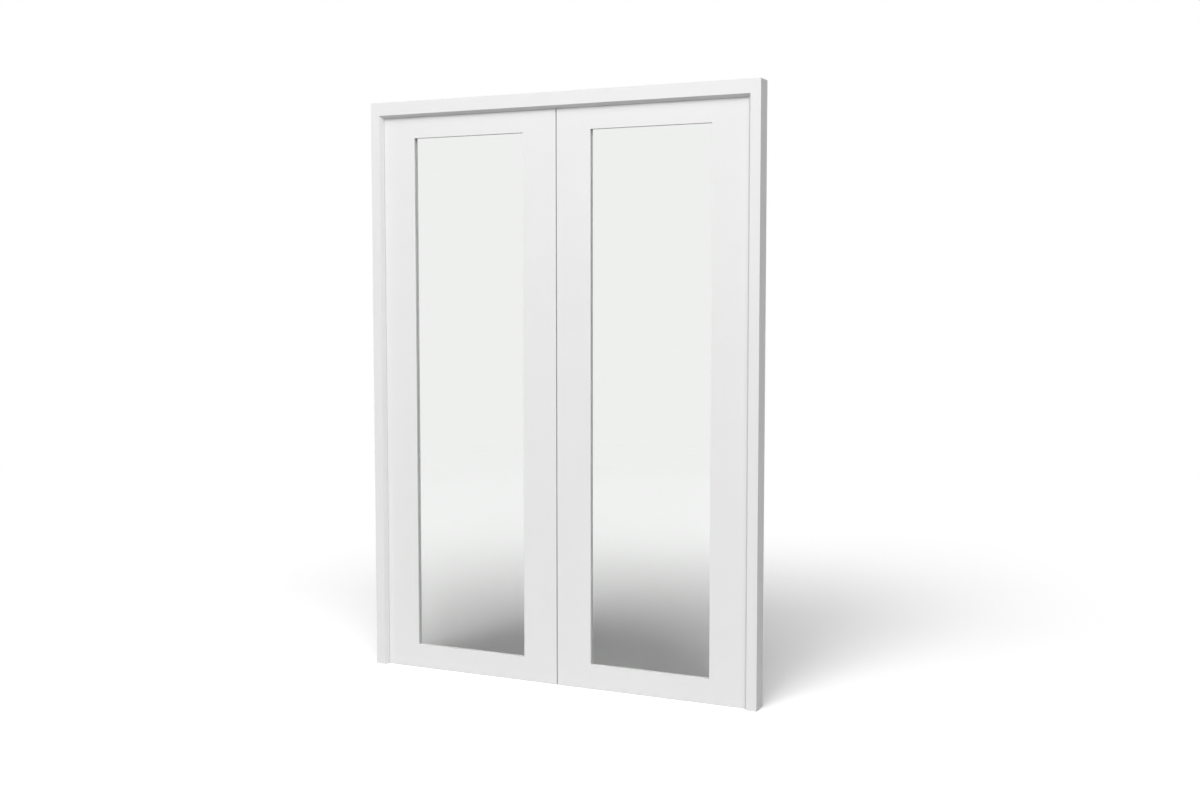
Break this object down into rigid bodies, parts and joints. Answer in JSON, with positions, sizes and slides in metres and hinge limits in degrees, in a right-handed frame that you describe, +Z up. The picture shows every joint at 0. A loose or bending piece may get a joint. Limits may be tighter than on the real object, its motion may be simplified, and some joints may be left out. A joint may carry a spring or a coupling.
{
  "type": "pair of glazed french doors in a frame",
  "caption": "Pair of white glazed french doors in their frame, each leaf with one full-height clear pane, hung on butt hinges at the back.",
  "frame": {"origin": "middle of the closed door set's footprint, on the floor", "axes": "+X to the right as seen from the front, +Y from the front to the back, +Z up"},
  "size_m": [1.51, 0.0772, 2.1],
  "materials": {
    "painted_wood": "satin white paint",
    "beech": "bare",
    "clear_glass": "clear float glass",
    "glazing_tape": "matt foam tape",
    "block_plastic": "moulded",
    "seal_rubber": "soft, matt",
    "hinge_steel": "satin",
    "screw_steel": "zinc plated",
    "magnet_steel": "cased magnet"
  },
  "bodies": {
    "frame": {"catch_magnets": "magnet_steel", "frame_corner_screws": "screw_steel", "frame_hinge_screws": "screw_steel", "head_jamb": "painted_wood", "jamb_left": "painted_wood", "jamb_right": "painted_wood", "left_lower_hinge_frame_plate": "hinge_steel", "left_lower_hinge_pin": "hinge_steel", "left_middle_hinge_frame_plate": "hinge_steel", "left_middle_hinge_pin": "hinge_steel", "left_upper_hinge_frame_plate": "hinge_steel", "left_upper_hinge_pin": "hinge_steel", "right_lower_hinge_frame_plate": "hinge_steel", "right_lower_hinge_pin": "hinge_steel", "right_middle_hinge_frame_plate": "hinge_steel", "right_middle_hinge_pin": "hinge_steel", "right_upper_hinge_frame_plate": "hinge_steel", "right_upper_hinge_pin": "hinge_steel", "seal_head": "seal_rubber", "seal_left": "seal_rubber", "seal_right": "seal_rubber"},
    "left_leaf": {"left_leaf_back_glazing_tape": "glazing_tape", "left_leaf_bead_pins": "screw_steel", "left_leaf_bottom_bead": "painted_wood", "left_leaf_bottom_rail": "painted_wood", "left_leaf_catch_keeper": "hinge_steel", "left_leaf_dowels": "beech", "left_leaf_front_glazing_tape": "glazing_tape", "left_leaf_glass": "clear_glass", "left_leaf_hinge_screws": "screw_steel", "left_leaf_hinge_stile": "painted_wood", "left_leaf_inner_bead": "painted_wood", "left_leaf_meeting_stile": "painted_wood", "left_leaf_outer_bead": "painted_wood", "left_leaf_setting_blocks": "block_plastic", "left_leaf_top_bead": "painted_wood", "left_leaf_top_rail": "painted_wood", "left_lower_hinge_door_plate": "hinge_steel", "left_middle_hinge_door_plate": "hinge_steel", "left_upper_hinge_door_plate": "hinge_steel"},
    "right_leaf": {"right_leaf_back_glazing_tape": "glazing_tape", "right_leaf_bead_pins": "screw_steel", "right_leaf_bottom_bead": "painted_wood", "right_leaf_bottom_rail": "painted_wood", "right_leaf_catch_keeper": "hinge_steel", "right_leaf_dowels": "beech", "right_leaf_front_glazing_tape": "glazing_tape", "right_leaf_glass": "clear_glass", "right_leaf_hinge_screws": "screw_steel", "right_leaf_hinge_stile": "painted_wood", "right_leaf_inner_bead": "painted_wood", "right_leaf_meeting_stile": "painted_wood", "right_leaf_outer_bead": "painted_wood", "right_leaf_setting_blocks": "block_plastic", "right_leaf_top_bead": "painted_wood", "right_leaf_top_rail": "painted_wood", "right_lower_hinge_door_plate": "hinge_steel", "right_middle_hinge_door_plate": "hinge_steel", "right_upper_hinge_door_plate": "hinge_steel"}
  },
  "joints": [
    {"name": "left_leaf_hinge", "type": "hinge", "parent": "frame", "child": "left_leaf", "pos_m": [-0.71975, 0.03315, 1], "axis": [0, 0, 1], "range_deg": [0, 170]},
    {"name": "right_leaf_hinge", "type": "hinge", "parent": "frame", "child": "right_leaf", "pos_m": [0.71975, 0.03315, 1], "axis": [0, 0, -1], "range_deg": [0, 170]}
  ]
}
